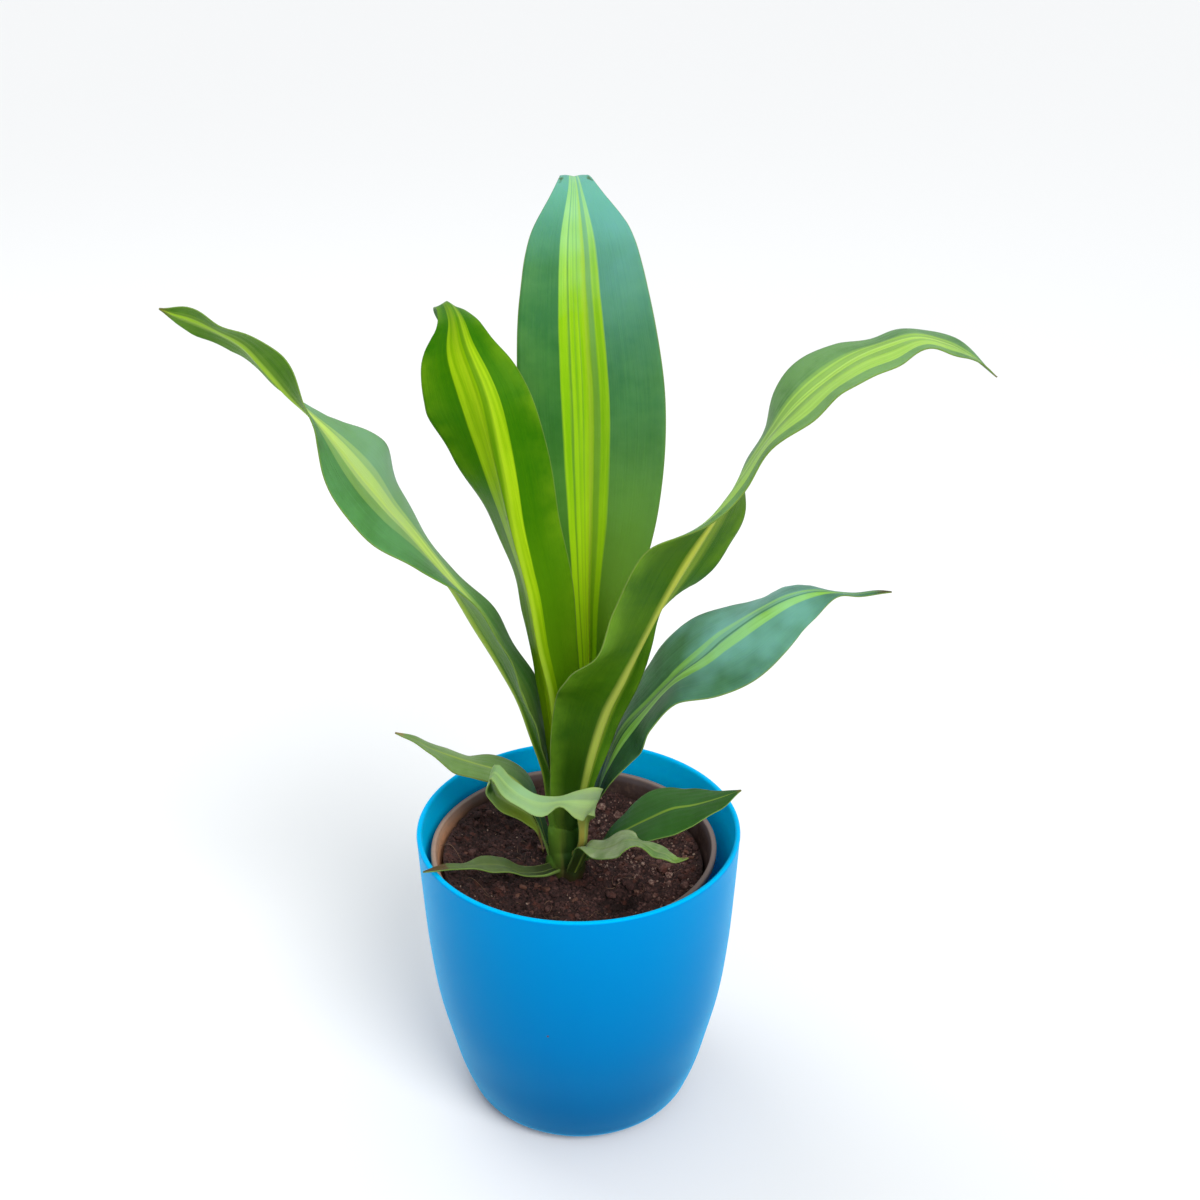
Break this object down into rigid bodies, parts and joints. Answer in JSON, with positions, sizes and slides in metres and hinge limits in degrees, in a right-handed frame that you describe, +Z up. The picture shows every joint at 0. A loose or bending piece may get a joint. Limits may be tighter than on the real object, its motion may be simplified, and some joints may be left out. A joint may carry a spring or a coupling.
{
  "type": "potted dracaena",
  "caption": "Young dracaena with arching pale-striped strap leaves on a short stem, growing in a thin nursery pot that stands in a glossy blue planter.",
  "frame": {"origin": "centre of the planter's underside, on the surface it stands on", "axes": "+Z up along the planter's turning axis, +X to the right and +Y away from the viewer in the reference view"},
  "size_m": [0.2898, 0.1634, 0.37],
  "materials": {
    "planter_plastic": "glossy",
    "nursery_plastic": "satin",
    "soil": "rough and moist",
    "stem_skin": "smooth and waxy",
    "leaf_blade": "waxy satin"
  },
  "bodies": {
    "root": {"outer_pot": "planter_plastic", "nursery_pot": "nursery_plastic", "potting_soil": "soil", "stem": "stem_skin", "leaf_back_tall": "leaf_blade", "leaf_left_upright": "leaf_blade", "leaf_left_long": "leaf_blade", "leaf_right_long": "leaf_blade", "leaf_right_broad": "leaf_blade", "leaf_low_left": "leaf_blade", "leaf_front_curled": "leaf_blade", "leaf_low_right_curled": "leaf_blade", "leaf_low_right_broad": "leaf_blade", "leaf_small_left": "leaf_blade"}
  },
  "joints": []
}
